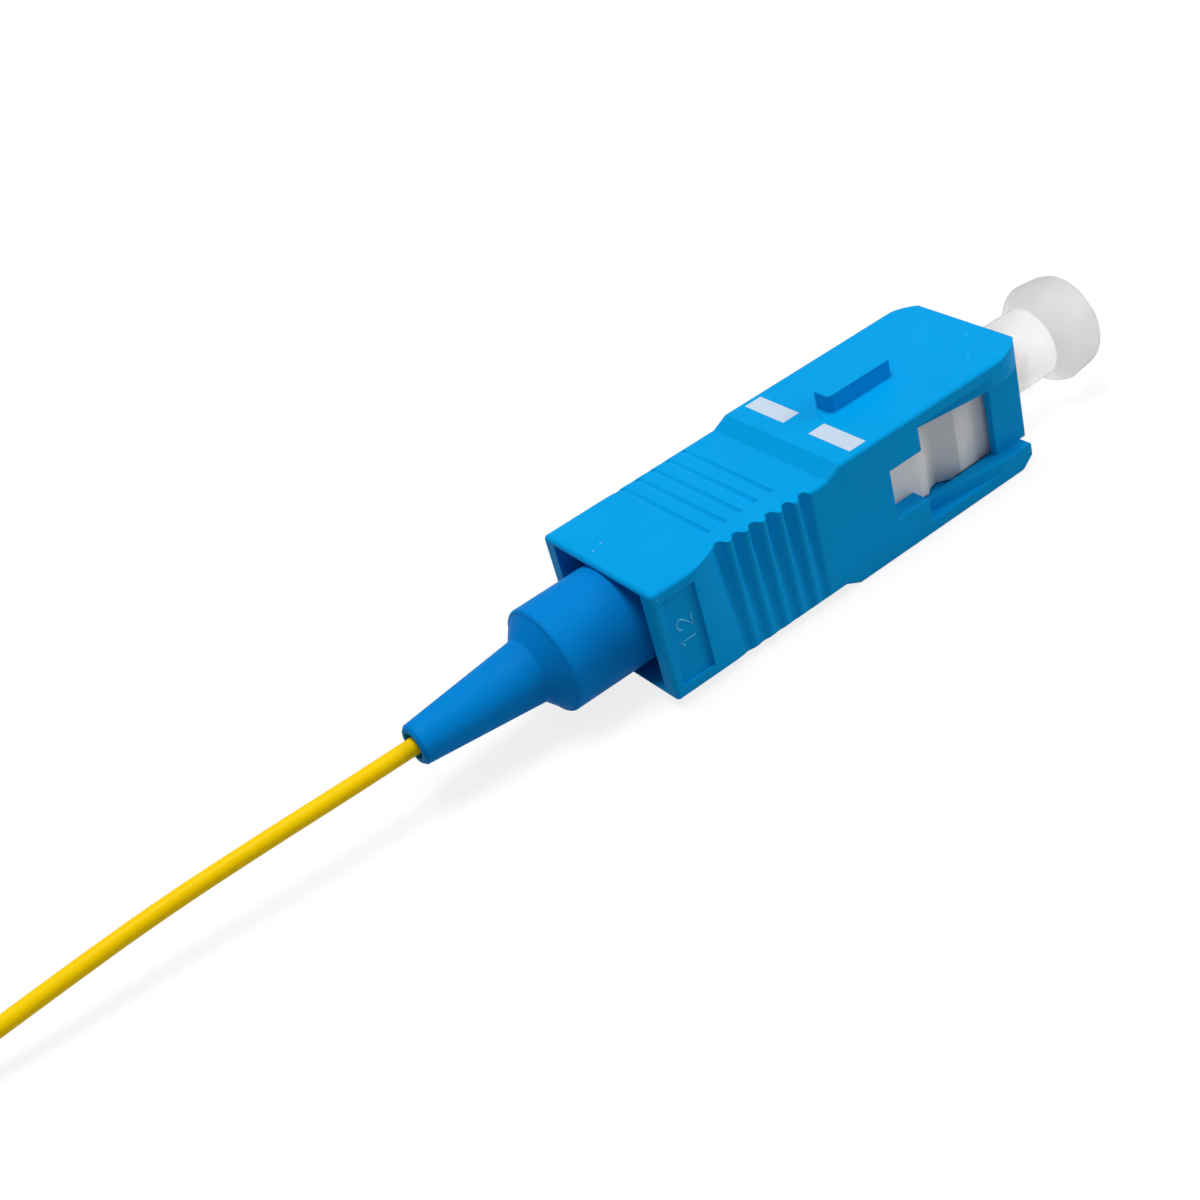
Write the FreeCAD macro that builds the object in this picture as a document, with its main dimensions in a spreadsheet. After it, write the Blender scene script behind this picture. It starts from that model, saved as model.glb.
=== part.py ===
import FreeCAD, Part

import math
import os

import Sketcher

# SC fibre connector on a 0.9 mm buffered pigtail, with its dust cap on the ferrule.
# Millimetres.  The drawing frame has x along the connector, rising towards the mating
# end, y to the connector's left, and z up.  Its origin is on the connector's axis, at
# the rear end of the outer housing.  Every body is then placed so that the underside
# lies on z = 0 and the middle of the connector's length is at x = 0.

doc = FreeCAD.newDocument("sc_fibre_connector")
sheet = doc.addObject("Spreadsheet::Sheet", "Sizes")

VECTOR = FreeCAD.Vector
AXIS_X = VECTOR(1, 0, 0)


class Size:
    """A number together with the sheet expression that gives it."""

    def __init__(self, value, text=None):
        self.value = float(value)
        self.text = repr(float(value)) if text is None else text

    def _with(self, other, sign, flip=False):
        other = other if isinstance(other, Size) else Size(other)
        a, b = (other, self) if flip else (self, other)
        value = {"+": a.value + b.value, "-": a.value - b.value, "*": a.value * b.value}
        if sign == "/":
            value["/"] = a.value / b.value
        return Size(value[sign], "(%s %s %s)" % (a.text, sign, b.text))

    def __add__(self, other):
        return self._with(other, "+")

    def __radd__(self, other):
        return self._with(other, "+", True)

    def __sub__(self, other):
        return self._with(other, "-")

    def __rsub__(self, other):
        return self._with(other, "-", True)

    def __mul__(self, other):
        return self._with(other, "*")

    def __rmul__(self, other):
        return self._with(other, "*", True)

    def __truediv__(self, other):
        return self._with(other, "/")

    def __neg__(self):
        return Size(-self.value, "(0 - %s)" % self.text)


# ---------------------------------------------------------------- the size sheet

SIZES = {
    # outer housing
    "plug_front": 25.8,
    "housing_length": 25.8,
    "housing_width": 9.0,
    "housing_height": 7.4,
    "rear_step": 0.45,
    "front_length": 13.44,
    "waist_length": 0.93,
    "key_setback": 10.4,
    "key_length": 4.45,
    "key_width": 1.3,
    "key_height": 1.0,
    "key_corner": 0.28,
    "nose_chamfer_length": 2.0,
    "nose_chamfer_width": 1.0,
    "edge_round": 0.22,
    "nose_bow": 0.22,
    "rail_setback": 0.6,
    "rail_chamfer_length": 0.9,
    "rail_chamfer_height": 0.7,
    # openings of the outer housing
    "side_wall": 1.2,
    "face_wall": 0.95,
    "rear_wall": 0.25,
    "mouth_depth": 2.2,
    "mouth_side_wall": 0.9,
    "slot_height": 3.06,
    "slot_length": 2.25,
    "window_length": 5.75,
    "pillar_length": 2.4,
    "window_height": 4.6,
    "ramp_margin": 0.64,
    "ramp_setback": 0.4,
    "ramp_depth": 0.85,
    "pillar_setback": 0.8,
    # markings and panels of the outer housing
    "panel_start": 0.55,
    "panel_length": 2.02,
    "panel_height": 5.2,
    "panel_depth": 0.2,
    "mark_setback": 1.92,
    "mark_length": 1.11,
    "mark_inner": 0.976,
    "mark_margin": 0.43,
    "mark_depth": 0.06,
    # finger grip
    "groove_first": 4.75,
    "groove_count": 6,
    "groove_width": 0.56,
    "groove_bow": 0.232,
    "ridge_width": 0.47,
    "ridge_bow": 0.19,
    "groove_deepest": 0.72,
    "groove_fade": 0.07,
    "groove_run_out": 0.28,
    "cut_margin": 0.6,
    "shoulder_start": 2.3,
    "shoulder_depth": 0.6,
    "line_first": 5.05,
    "line_count": 5,
    "line_radius": 0.3,
    "line_depth_near": 0.13,
    "line_depth_far": 0.05,
    "line_margin_far": 0.3,
    "line_margin_near": 1.7,
    # plug frame
    "frame_tail": 9.9,
    "frame_rear_gap": 0.3,
    "frame_recess": 0.4,
    "frame_side_gap": 0.1,
    "frame_face_gap": 0.1,
    "catch_offset": 0.55,
    "catch_length": 3.0,
    "catch_floor_share": 0.62,
    "catch_depth": 0.8,
    "catch_bow": 0.1,
    "ridge_length": 0.35,
    "nose_taper": 0.4,
    "frame_corner": 0.35,
    "lug_gap": 0.05,
    "lug_length": 0.55,
    "lug_height": 2.6,
    "lug_proud": 0.55,
    "frame_bore_wall": 0.3,
    "seat_offset": 0.6,
    "seat_length": 1.0,
    "seat_hole": 1.75,
    "frame_mid_bore": 2.0,
    "front_bore_length": 4.0,
    "tab_window_offset": 0.7,
    "tab_window_length": 1.4,
    "tab_window_width": 2.4,
    # ferrule and its metal flange
    "ferrule_radius": 1.25,
    "ferrule_inset": 0.5,
    "ferrule_proud": 1.6,
    "ferrule_hole": 0.08,
    "ferrule_tip_chamfer": 0.3,
    "flange_tail_length": 8.0,
    "flange_tail_radius": 1.1,
    "flange_tail_hole": 0.5,
    "flange_tube_depth": 1.5,
    "collar_gap": 0.2,
    "collar_length": 1.35,
    "seat_gap": 0.05,
    "flange_nose_radius": 1.6,
    "flange_nose_length": 3.0,
    # spring
    "wire_diameter": 0.4,
    "spring_radius": 1.55,
    "spring_turns": 7,
    "spring_end_gap": 0.02,
    # stop ring (the rear metal body that the boot and the cable seat on)
    "ring_overlap": 0.9,
    "ring_fit": 0.05,
    "ring_bore": 1.2,
    "ring_flange_gap": 0.05,
    "ring_flange_length": 0.85,
    "nipple_start": -2.5,
    "nipple_radius": 1.6,
    "barb_height": 0.12,
    "barb_pitch": 1.2,
    "tab_length": 1.2,
    "tab_width": 2.2,
    # guide tube and fibre
    "tube_start": -0.5,
    "tube_radius": 0.8,
    "tube_hole": 0.55,
    "tube_fit": 0.02,
    "buffer_diameter": 0.9,
    "buffer_start": -11.5,
    "strip_depth": 6.0,
    "bare_radius": 0.0625,
    # boot
    "boot_front": 3.5,
    "boot_gap": 0.1,
    "boot_collar_end": -4.05,
    "boot_step": -4.95,
    "boot_edge_length": 0.22,
    "boot_edge_drop": 0.2,
    "boot_edge_bow": 0.06,
    "boot_cone_radius": 1.75,
    "boot_end": -12.0,
    "boot_end_radius": 1.1,
    "boot_fit": 0.02,
    "boot_hole": 0.5,
    "boot_mouth_hole": 0.72,
    "boot_mouth_depth": 1.5,
    "boot_lip": 0.15,
    # dust cap
    "cap_reach": 2.8,
    "cap_neck_gap": 0.25,
    "cap_fit": 0.03,
    "cap_hole_spare": 1.5,
    "cap_neck_spare": 3.2,
    "cap_flare_length": 1.1,
    "cap_flare_radius": 2.98,
    "cap_head_length": 1.85,
    "cap_end_radius": 2.84,
    "cap_edge": 0.36,
    # pigtail beyond the boot: the hank of the length that lies outside
    "hank_x": -55.6,
    "hank_y": -1.4,
    "hank_run": 13.5,
    "hank_outer": 5.85,
    "hank_inner": 2.25,
    "hank_height": 5.4,
    "hank_entry": -47.6,
}


def fill_sheet():
    """Writes each size once, as plain text, under its own alias."""
    for row, (name, value) in enumerate(SIZES.items(), start=1):
        sheet.set("A%d" % row, name)
        sheet.set("B%d" % row, str(value))
        sheet.setAlias("B%d" % row, name)
    doc.recompute()


fill_sheet()


class Sheet:
    """Reads the sheet: S.housing_width is that cell as a Size."""

    def __getattr__(self, name):
        return Size(getattr(sheet, name), "Sizes." + name)


S = Sheet()

# Shared positions, worked out from the sheet.
HALF_WIDTH = S.housing_width / 2
HALF_HEIGHT = S.housing_height / 2
REAR_TOP = HALF_HEIGHT - S.rear_step
AXIS_HEIGHT = HALF_HEIGHT
HOUSING_FRONT = S.plug_front
HOUSING_REAR = HOUSING_FRONT - S.housing_length
WAIST_END = HOUSING_FRONT - S.front_length
WAIST_START = WAIST_END - S.waist_length
KEY_START = HOUSING_FRONT - S.key_setback
WINDOW_END = HOUSING_FRONT - S.pillar_length
WINDOW_START = WINDOW_END - S.window_length
SLOT_START = WINDOW_START - S.slot_length
MARK_START = KEY_START - S.mark_setback
BORE_SIDE = HALF_WIDTH - S.side_wall
BORE_FACE = HALF_HEIGHT - S.face_wall
BOOT_ROOM_FACE = REAR_TOP - S.rear_wall
GROOVE_PITCH = S.groove_width + S.ridge_width
# The plug frame fits the bore, and its lugs bear on the rear end of the side slots.
FRAME_SIDE = BORE_SIDE - S.frame_side_gap
FRAME_FACE = BORE_FACE - S.frame_face_gap
FRAME_START = SLOT_START - S.frame_tail
BOOT_ROOM_END = FRAME_START - S.frame_rear_gap
FRAME_END = HOUSING_FRONT - S.frame_recess
FRAME_BORE = FRAME_FACE - S.frame_bore_wall
CATCH_START = WINDOW_START + S.catch_offset
CATCH_END = CATCH_START + S.catch_length
SEAT_START = SLOT_START + S.seat_offset
TAB_START = FRAME_START + S.tab_window_offset
TAB_TOP = FRAME_FACE - S.frame_face_gap
# The ferrule's flange seats on the frame's inner wall, with the spring behind it.
COLLAR_RADIUS = FRAME_BORE - S.collar_gap
COLLAR_FRONT = SEAT_START - S.seat_gap
COLLAR_BACK = COLLAR_FRONT - S.collar_length
FERRULE_START = SEAT_START + S.ferrule_inset
FERRULE_END = FRAME_END + S.ferrule_proud
TAIL_START = SEAT_START - S.flange_tail_length
NOSE_END = SEAT_START + S.flange_nose_length
RING_RADIUS = FRAME_BORE - S.ring_fit
RING_FLANGE_RADIUS = FRAME_FACE - S.frame_face_gap
RING_FRONT = TAIL_START + S.ring_overlap
RING_FLANGE_END = FRAME_START - S.ring_flange_gap
STRIP_POINT = TAIL_START + S.strip_depth
BUFFER_RADIUS = S.buffer_diameter / 2
# The boot fits its room in the housing, and the cap goes over the ferrule.
BOOT_RADIUS = BOOT_ROOM_FACE - S.boot_gap
CAP_NECK_RADIUS = FRAME_BORE - S.cap_neck_gap
CAP_START = FRAME_END - S.cap_reach
CAP_HOLE_END = FERRULE_END + S.cap_hole_spare
CAP_NECK_END = FERRULE_END + S.cap_neck_spare
CAP_FLARE_END = CAP_NECK_END + S.cap_flare_length
CAP_END = CAP_FLARE_END + S.cap_head_length
PART_MIDDLE = (S.boot_end + CAP_END) / 2

# ------------------------------------------------------------------ drawing helpers


def new_body(label):
    """A PartDesign body, placed in the finished part's own frame."""
    body = doc.addObject("PartDesign::Body", label)
    body.Label = label
    body.setExpression("Placement.Base.x", "0 - " + PART_MIDDLE.text)
    body.setExpression("Placement.Base.z", AXIS_HEIGHT.text)
    return body


def datum(body, role):
    return [item for item in body.Origin.OriginFeatures if item.Role == role][0]


def new_sketch(body, name, plane, offset=None):
    sketch = body.newObject("Sketcher::SketchObject", name)
    sketch.AttachmentSupport = [(datum(body, plane), "")]
    sketch.MapMode = "FlatFace"
    if offset is not None:
        sketch.setExpression("AttachmentOffset.Base.z", offset.text)
    return sketch


def as_size(number):
    return number if isinstance(number, Size) else Size(number)


def fix_point(sketch, edge, end, x, y):
    """Ties one end of an edge to its two sizes."""
    for kind, size in (("DistanceX", as_size(x)), ("DistanceY", as_size(y))):
        index = sketch.addConstraint(Sketcher.Constraint(kind, -1, 1, edge, end, size.value))
        sketch.setExpression("Constraints[%d]" % index, size.text)


def outline(sketch, points):
    """A closed outline.  A point is (x, y), or (x, y, radius) where the edge that
    leaves it is an arc; a positive radius turns left, a negative one right."""
    first = sketch.GeometryCount
    ends = points[1:] + points[:1]
    spots = [VECTOR(as_size(p[0]).value, as_size(p[1]).value, 0) for p in points]
    arcs = []
    for number, (start, end) in enumerate(zip(points, ends)):
        a, b = spots[number], spots[(number + 1) % len(spots)]
        if len(start) < 3:
            sketch.addGeometry(Part.LineSegment(a, b), False)
            continue
        radius = abs(start[2].value)
        side = 1 if start[2].value > 0 else -1
        chord = b - a
        normal = VECTOR(-chord.y, chord.x, 0).normalize() * side
        reach = math.sqrt(max(radius ** 2 - chord.Length ** 2 / 4, 0))
        centre = a + chord / 2 + normal * reach
        middle = centre - normal * radius
        sketch.addGeometry(Part.Arc(a, middle, b), False)
        arcs.append((first + number, side, start[2] if side > 0 else -start[2]))
    count = len(points)
    turned = {index for index, side, radius in arcs if side < 0}
    for number in range(count):
        edge, after = first + number, first + (number + 1) % count
        tail = 1 if edge in turned else 2
        head = 2 if after in turned else 1
        sketch.addConstraint(Sketcher.Constraint("Coincident", edge, tail, after, head))
    for number, point in enumerate(points):
        edge = first + number
        fix_point(sketch, edge, 2 if edge in turned else 1, point[0], point[1])
    for index, side, radius in arcs:
        held = sketch.addConstraint(Sketcher.Constraint("Radius", index, radius.value))
        sketch.setExpression("Constraints[%d]" % held, radius.text)


def block(sketch, x0, x1, y0, y1):
    outline(sketch, [(x0, y0), (x1, y0), (x1, y1), (x0, y1)])


def circle(sketch, x, y, radius):
    centre = VECTOR(as_size(x).value, as_size(y).value, 0)
    edge = sketch.addGeometry(Part.Circle(centre, VECTOR(0, 0, 1), radius.value), False)
    fix_point(sketch, edge, 3, x, y)
    held = sketch.addConstraint(Sketcher.Constraint("Radius", edge, radius.value))
    sketch.setExpression("Constraints[%d]" % held, radius.text)


def volume(body):
    return 0.0 if body.Shape.isNull() else body.Shape.Volume


def settle(body, before, grows, name):
    """Recomputes, and makes sure that the feature added or removed material."""
    doc.recompute()
    change = volume(body) - before
    if (change > 0) != grows or abs(change) < 1e-6:
        raise ValueError("%s changed the volume by %.6f" % (name, change))


def extrude(kind, body, sketch, name, length, both_ways=False, backwards=False):
    before = volume(body)
    feature = body.newObject("PartDesign::" + kind, name)
    feature.Profile = sketch
    feature.setExpression("Length", length.text)
    feature.SideType = "Symmetric" if both_ways else "One side"
    feature.Reversed = backwards
    settle(body, before, kind == "Pad", name)
    return feature


def pad(body, sketch, name, length, both_ways=False, backwards=False):
    return extrude("Pad", body, sketch, name, length, both_ways, backwards)


def pocket(body, sketch, name, length, both_ways=False, backwards=False):
    return extrude("Pocket", body, sketch, name, length, both_ways, backwards)


def spin(kind, body, sketch, name):
    """A turned feature about the connector's axis."""
    before = volume(body)
    feature = body.newObject("PartDesign::" + kind, name)
    feature.Profile = sketch
    feature.ReferenceAxis = (datum(body, "X_Axis"), [""])
    feature.Angle = 360
    settle(body, before, kind == "Revolution", name)
    return feature


def turned(label, points):
    """A turned piece from its half profile, given as (x, radius)."""
    body = new_body(label)
    sketch = new_sketch(body, label + "_profile", "XY_Plane")
    outline(sketch, points)
    spin("Revolution", body, sketch, label + "_turned")
    return body


def half_turn(body, feature, name):
    """Repeats a cut on the opposite side, turned half round the connector's axis."""
    before = volume(body)
    pattern = body.newObject("PartDesign::PolarPattern", name)
    pattern.Originals = [feature]
    pattern.Axis = (datum(body, "X_Axis"), [""])
    pattern.Angle = 360
    pattern.Occurrences = 2
    body.Tip = pattern
    settle(body, before, False, name)
    return pattern


# ------------------------------------------------------------------- outer housing


def mirrored(points):
    """The same points across the length axis and in reverse order, arcs included."""
    result = []
    for number in range(len(points) - 1, -1, -1):
        bend = points[number - 1][2:] if number > 0 else ()
        result.append((points[number][0], -points[number][1]) + bend)
    return result


def bow_radius(dx, dy, bow):
    """The radius of an arc over a chord (dx, dy) that rises by bow above it."""
    return ((dx * dx + dy * dy) / 4 + bow * bow) / (2 * bow)


def housing_shell(body):
    """The side profile with its waist, padded across the width, its long and rear
    edges rounded, and the key on top."""
    rail_front = HOUSING_FRONT - S.rail_setback
    rail_top = -S.window_height / 2
    side = new_sketch(body, "housing_side", "XZ_Plane")
    outline(side, [
        (HOUSING_REAR, -REAR_TOP),
        (WAIST_START, -REAR_TOP),
        (WAIST_END, -HALF_HEIGHT),
        (rail_front - S.rail_chamfer_length, -HALF_HEIGHT),
        (rail_front, -HALF_HEIGHT + S.rail_chamfer_height),
        (rail_front, rail_top),
        (HOUSING_FRONT, rail_top),
        (HOUSING_FRONT, HALF_HEIGHT),
        (WAIST_END, HALF_HEIGHT),
        (WAIST_START, REAR_TOP),
        (HOUSING_REAR, REAR_TOP),
    ])
    pad(body, side, "housing_block", S.housing_width, both_ways=True)
    round_edges(body, "housing_edges", S.edge_round, is_outer_edge)
    key_end = KEY_START + S.key_length
    half = S.key_width / 2
    corner = S.key_corner
    key = new_sketch(body, "key_plan", "XY_Plane", HALF_HEIGHT - S.mark_depth)
    outline(key, [
        (KEY_START + corner, -half),
        (key_end - corner, -half, corner),
        (key_end, -half + corner),
        (key_end, half - corner, corner),
        (key_end - corner, half),
        (KEY_START + corner, half, corner),
        (KEY_START, half - corner),
        (KEY_START, -half + corner, corner),
    ])
    pad(body, key, "key", S.key_height + S.mark_depth)


def is_outer_edge(edge):
    """True for the block's upper and lower long edges and the edges of its rear end."""
    box = edge.BoundBox
    on_side = abs(abs(box.YMin) - HALF_WIDTH.value) < 1e-6 and box.YLength < 1e-6
    at_rear = box.XMax < HOUSING_REAR.value + 1e-6
    low_or_high = min(abs(box.ZMin), abs(box.ZMax)) > REAR_TOP.value - 1e-6
    before_rail = box.XMin < WAIST_END.value + 1e-6
    return at_rear or (on_side and low_or_high and before_rail)


def round_edges(body, name, radius, wanted):
    """Fillets those edges of the body's last feature that the test picks."""
    before = volume(body)
    base = body.Tip
    names = ["Edge%d" % (number + 1) for number, edge in enumerate(base.Shape.Edges)
             if wanted(edge)]
    fillet = body.newObject("PartDesign::Fillet", name)
    fillet.Base = (base, names)
    fillet.setExpression("Radius", radius.text)
    settle(body, before, False, name)
    return fillet


def housing_nose(body):
    """The curved upper front corners, seen from above."""
    nose_start = HOUSING_FRONT - S.nose_chamfer_length
    beyond = HOUSING_FRONT + 1
    past = HALF_WIDTH + 1
    inner = HALF_WIDTH - S.nose_chamfer_width
    bend = bow_radius(S.nose_chamfer_length, S.nose_chamfer_width, S.nose_bow)
    for name, side in (("left", 1), ("right", -1)):
        plan = new_sketch(body, "nose_plan_" + name, "XY_Plane", -S.window_height / 2)
        outline(plan, [
            (nose_start, side * HALF_WIDTH, -side * bend),
            (HOUSING_FRONT, side * inner),
            (beyond, side * inner),
            (beyond, side * past),
            (nose_start, side * past),
        ])
        pocket(body, plan, "nose_chamfer_" + name, S.housing_height, backwards=True)


def housing_bores(body):
    """The way through for the plug frame, and the wider room at the rear for the boot."""
    steps = [
        ("main_bore", BORE_SIDE, BORE_FACE, S.housing_length + 1),
        ("boot_room", BORE_SIDE, BOOT_ROOM_FACE, BOOT_ROOM_END - HOUSING_REAR),
        ("mouth", HALF_WIDTH - S.mouth_side_wall, BOOT_ROOM_FACE, S.mouth_depth),
    ]
    for name, side, top, depth in steps:
        face = new_sketch(body, name + "_section", "YZ_Plane", HOUSING_REAR)
        block(face, -side, side, -top, top)
        pocket(body, face, name, depth, backwards=True)


def housing_windows(body):
    """The side windows with the slot behind them, their ramps, and the thin pillars."""
    through = S.housing_width + 1
    slot = new_sketch(body, "slot_outline", "XZ_Plane")
    block(slot, SLOT_START, WINDOW_START + 0.1, -S.slot_height / 2, S.slot_height / 2)
    pocket(body, slot, "side_slots", through, both_ways=True)
    window = new_sketch(body, "window_outline", "XZ_Plane")
    half = S.window_height / 2
    block(window, WINDOW_START, WINDOW_END, -half, half)
    pocket(body, window, "side_windows", through, both_ways=True)
    floor = HALF_WIDTH - S.ramp_depth
    ramp_end = WINDOW_END - S.ramp_setback
    ramp_height = S.window_height + 2 * S.ramp_margin
    past = HALF_WIDTH + 1
    pillar = HALF_WIDTH - S.pillar_setback
    for name, side in (("left", 1), ("right", -1)):
        ramp = new_sketch(body, "ramp_plan_" + name, "XY_Plane")
        outline(ramp, [
            (WINDOW_START, side * floor),
            (ramp_end, side * HALF_WIDTH),
            (ramp_end, side * past),
            (WINDOW_START, side * past),
        ])
        pocket(body, ramp, "ramps_" + name, ramp_height, both_ways=True)
        post = new_sketch(body, "pillar_plan_" + name, "XY_Plane")
        block(post, WINDOW_END - 0.1, HOUSING_FRONT + 1, side * pillar, side * past)
        pocket(body, post, "pillar_recess_" + name, S.window_height, both_ways=True)


def housing_panels(body):
    """The sunk panel at the rear of each side, and the two sunk marks on top."""
    half = S.panel_height / 2
    panel = new_sketch(body, "panel_outline", "XZ_Plane", HALF_WIDTH - S.panel_depth)
    panel_start = HOUSING_REAR + S.panel_start
    block(panel, panel_start, panel_start + S.panel_length, -half, half)
    cut = pocket(body, panel, "side_panel", S.panel_depth + 1, backwards=True)
    half_turn(body, cut, "side_panels")
    mark_end = MARK_START + S.mark_length
    mark_outer = HALF_WIDTH - S.mark_margin
    for name, side in (("left", 1), ("right", -1)):
        mark = new_sketch(body, "mark_recess_" + name, "XY_Plane", HALF_HEIGHT - S.mark_depth)
        block(mark, MARK_START, mark_end, side * S.mark_inner, side * mark_outer)
        pocket(body, mark, "mark_bed_" + name, S.mark_depth + 1, backwards=True)


def grip_outline(sketch, share):
    """The grip's plan: a convex shoulder, then rounded grooves and ridges in turn, each
    pair less deep than the last.  share is how much of the full depth is left."""
    skin = -HALF_WIDTH
    half = S.groove_width / 2
    deep = [share * (S.groove_deepest - number * S.groove_fade - S.groove_bow)
            for number in range(int(S.groove_count.value))]
    groove_bow, ridge_bow = share * S.groove_bow, share * S.ridge_bow
    start = HOUSING_REAR + S.shoulder_start
    first_x = HOUSING_REAR + S.groove_first
    enter_x, enter_y = first_x - half, share * S.shoulder_depth
    points = [(start, skin, bow_radius(enter_x - start, enter_y, enter_y / 4))]
    for number, depth in enumerate(deep):
        leave_x = first_x + number * GROOVE_PITCH + half
        chord = enter_y - depth
        points.append((enter_x, skin + enter_y,
                       -bow_radius(S.groove_width, chord, groove_bow)))
        after = deep[number + 1] if number + 1 < len(deep) else 0 * depth
        points.append((leave_x, skin + depth,
                       bow_radius(S.ridge_width, depth - after, ridge_bow / 2)
                       if number + 1 == len(deep)
                       else bow_radius(S.ridge_width, depth - after, ridge_bow)))
        enter_x, enter_y = leave_x + S.ridge_width, after
    points.append((enter_x, skin))
    points.append((enter_x, skin - S.cut_margin))
    points.append((start, skin - S.cut_margin))
    outline(sketch, points)


def tapered_cut(body, name, plane, stations):
    """A loft that cuts through sketches on parallel planes; stations are pairs of a
    plane's offset and the function that draws its outline."""
    sketches = []
    for number, (offset, draw) in enumerate(stations):
        sketch = new_sketch(body, "%s_section_%d" % (name, number + 1), plane, offset)
        draw(sketch)
        sketches.append(sketch)
    doc.recompute()
    before = volume(body)
    cut = body.newObject("PartDesign::SubtractiveLoft", name)
    cut.Profile = sketches[0]
    cut.Sections = [(sketch, [""]) for sketch in sketches[1:]]
    cut.Ruled = True
    settle(body, before, False, name)
    return cut


def housing_grip(body):
    """Finger grip: a shoulder and a row of rounded grooves that are deep at the top on
    the right and at the bottom on the left, and the fine tapered lines across the top
    and bottom, deep on the side where the grooves are."""
    full = Size(1.0)
    grooves = tapered_cut(body, "grip_grooves", "XY_Plane", [
        (REAR_TOP, lambda sketch: grip_outline(sketch, full)),
        (-REAR_TOP, lambda sketch: grip_outline(sketch, S.groove_run_out)),
    ])
    half_turn(body, grooves, "grip_both_sides")
    near = HALF_WIDTH - S.line_margin_near
    far = S.line_margin_far - HALF_WIDTH
    above = REAR_TOP + S.line_radius
    for number in range(int(S.line_count.value)):
        middle = HOUSING_REAR + S.line_first + number * GROOVE_PITCH
        near_height, far_height = above - S.line_depth_near, above - S.line_depth_far
        line = tapered_cut(body, "grip_line_%d" % (number + 1), "XZ_Plane", [
            (near, lambda sketch: circle(sketch, middle, near_height, S.line_radius)),
            (far, lambda sketch: circle(sketch, middle, far_height, S.line_radius)),
        ])
        half_turn(body, line, "grip_lines_%d" % (number + 1))


def outer_housing():
    body = new_body("outer_housing")
    housing_shell(body)
    housing_nose(body)
    housing_bores(body)
    housing_windows(body)
    housing_panels(body)
    housing_grip(body)
    return body


def index_mark(name, side):
    """The white mark printed in its shallow bed on the housing's top."""
    body = new_body("index_mark_" + name)
    sketch = new_sketch(body, name + "_mark", "XY_Plane", HALF_HEIGHT - S.mark_depth)
    mark_end = MARK_START + S.mark_length
    mark_outer = HALF_WIDTH - S.mark_margin
    block(sketch, MARK_START, mark_end, side * S.mark_inner, side * mark_outer)
    pad(body, sketch, name + "_mark_pad", S.mark_depth)
    return body


# ------------------------------------------------------------------- plug frame


def plug_frame():
    """The ivory inner frame: its side catches, stop lugs, corner chamfers and bores."""
    body = new_body("plug_frame")
    ridge_end = CATCH_END + S.ridge_length
    catch_deepest = CATCH_START + S.catch_length * S.catch_floor_share
    catch_floor = FRAME_SIDE - S.catch_depth
    half_slope = (CATCH_START + catch_deepest) / 2
    slope_length = catch_deepest - half_slope
    slope_bend = bow_radius(slope_length, S.catch_depth / 2, S.catch_bow)
    right = [
        (FRAME_START, -FRAME_SIDE),
        (CATCH_START, -FRAME_SIDE, slope_bend),
        (half_slope, S.catch_depth / 2 - FRAME_SIDE, -slope_bend),
        (catch_deepest, -catch_floor),
        (CATCH_END, -FRAME_SIDE),
        (ridge_end, -FRAME_SIDE),
        (FRAME_END, -FRAME_SIDE + S.nose_taper),
    ]
    plan = new_sketch(body, "frame_plan", "XY_Plane")
    outline(plan, right + mirrored(right))
    pad(body, plan, "frame_block", FRAME_FACE * 2, both_ways=True)
    corner = new_sketch(body, "frame_corners", "YZ_Plane", FRAME_START - 1)
    for side, up in ((1, 1), (-1, 1), (-1, -1), (1, -1)):
        outline(corner, [
            (side * (FRAME_SIDE - S.frame_corner), up * (FRAME_FACE + 0.01)),
            (side * (FRAME_SIDE + 0.01), up * (FRAME_FACE - S.frame_corner)),
            (side * (FRAME_SIDE + 0.5), up * (FRAME_FACE + 0.5)),
        ])
    length = FRAME_END - FRAME_START + 2
    pocket(body, corner, "corner_chamfers", length, backwards=True)
    lug_start = SLOT_START + S.lug_gap
    lug = new_sketch(body, "lug_section", "XY_Plane")
    reach = FRAME_SIDE + S.lug_proud
    for side in (1, -1):
        outline(lug, [
            (lug_start, side * (FRAME_SIDE - 0.3)),
            (lug_start, side * reach),
            (lug_start + S.lug_length * 0.3, side * reach),
            (lug_start + S.lug_length, side * (FRAME_SIDE + 0.2)),
            (lug_start + S.lug_length, side * (FRAME_SIDE - 0.3)),
        ])
    pad(body, lug, "stop_lugs", S.lug_height, both_ways=True)
    seat_end = SEAT_START + S.seat_length
    front_step = FRAME_END - S.front_bore_length
    bore = new_sketch(body, "frame_bore", "XY_Plane")
    outline(bore, [
        (FRAME_START - 1, 0),
        (FRAME_START - 1, FRAME_BORE),
        (SEAT_START, FRAME_BORE),
        (SEAT_START, S.seat_hole),
        (seat_end, S.seat_hole),
        (seat_end, S.frame_mid_bore),
        (front_step, S.frame_mid_bore),
        (front_step, FRAME_BORE),
        (FRAME_END + 1, FRAME_BORE),
        (FRAME_END + 1, 0),
    ])
    spin("Groove", body, bore, "frame_bores")
    windows = new_sketch(body, "tab_windows_plan", "XY_Plane")
    half = S.tab_window_width / 2
    window_end = TAB_START + S.tab_window_length
    block(windows, TAB_START, window_end, -half, half)
    pocket(body, windows, "tab_windows", FRAME_FACE * 2 + 1, both_ways=True)
    return body


# ------------------------------------------------------------ ferrule, flange, spring


def ferrule():
    chamfer = S.ferrule_tip_chamfer
    return turned("ferrule", [
        (FERRULE_START, S.ferrule_hole),
        (FERRULE_END, S.ferrule_hole),
        (FERRULE_END, S.ferrule_radius - chamfer),
        (FERRULE_END - chamfer, S.ferrule_radius),
        (FERRULE_START, S.ferrule_radius),
    ])


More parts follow.
